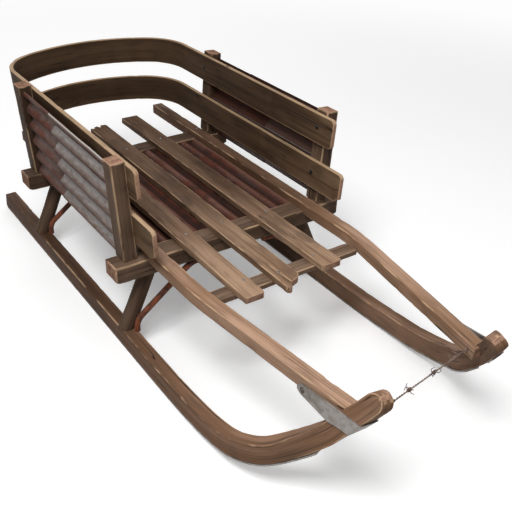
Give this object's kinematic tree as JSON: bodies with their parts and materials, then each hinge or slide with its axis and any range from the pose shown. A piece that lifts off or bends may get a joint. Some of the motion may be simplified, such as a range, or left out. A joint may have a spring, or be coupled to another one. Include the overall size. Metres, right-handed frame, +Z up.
{
  "type": "sled",
  "caption": "Timber hauling sled with upswept runners, slatted deck, bent bow rails and corrugated scrap side sheets.",
  "frame": {"origin": "on the floor, centre of the box round the sled", "axes": "+Z up, +Y towards the rear, the runners' raised tips towards -Y, +X to the right of someone facing the rear"},
  "size_m": [0.786, 1.9052, 0.597],
  "materials": {
    "runner_timber": "weathered, dull",
    "frame_timber": "weathered, dull",
    "deck_timber": "weathered, dull",
    "rail_timber": "weathered, dull",
    "galvanised_sheet": "dull zinc with rust",
    "rusty_sheet": "rusted",
    "steel_strip": "worn, rust at the edges",
    "rusty_rod": "rusted",
    "wire": "rusted"
  },
  "bodies": {
    "root": {"runner_left": "runner_timber", "runner_right": "runner_timber", "runner_shoe_left": "steel_strip", "runner_shoe_right": "steel_strip", "shaft_left": "frame_timber", "shaft_right": "frame_timber", "tip_strap_left": "steel_strip", "tip_strap_right": "steel_strip", "beam_front": "frame_timber", "beam_rear": "frame_timber", "crossbar": "frame_timber", "slat_left": "deck_timber", "slat_centre": "deck_timber", "slat_right": "deck_timber", "floor_sheet": "rusty_sheet", "post_front_left": "frame_timber", "post_front_right": "frame_timber", "post_rear_left": "frame_timber", "post_rear_right": "frame_timber", "leg_front_left": "frame_timber", "leg_front_right": "frame_timber", "leg_rear_left": "frame_timber", "leg_rear_right": "frame_timber", "brace_front_left": "rusty_rod", "brace_front_right": "rusty_rod", "brace_rear_left": "rusty_rod", "brace_rear_right": "rusty_rod", "side_sheet_front_left": "galvanised_sheet", "side_sheet_front_right": "galvanised_sheet", "side_sheet_rear_left": "rusty_sheet", "side_sheet_rear_right": "rusty_sheet", "bow_rail_upper": "rail_timber", "bow_rail_lower": "rail_timber", "tip_wire": "wire"}
  },
  "joints": []
}
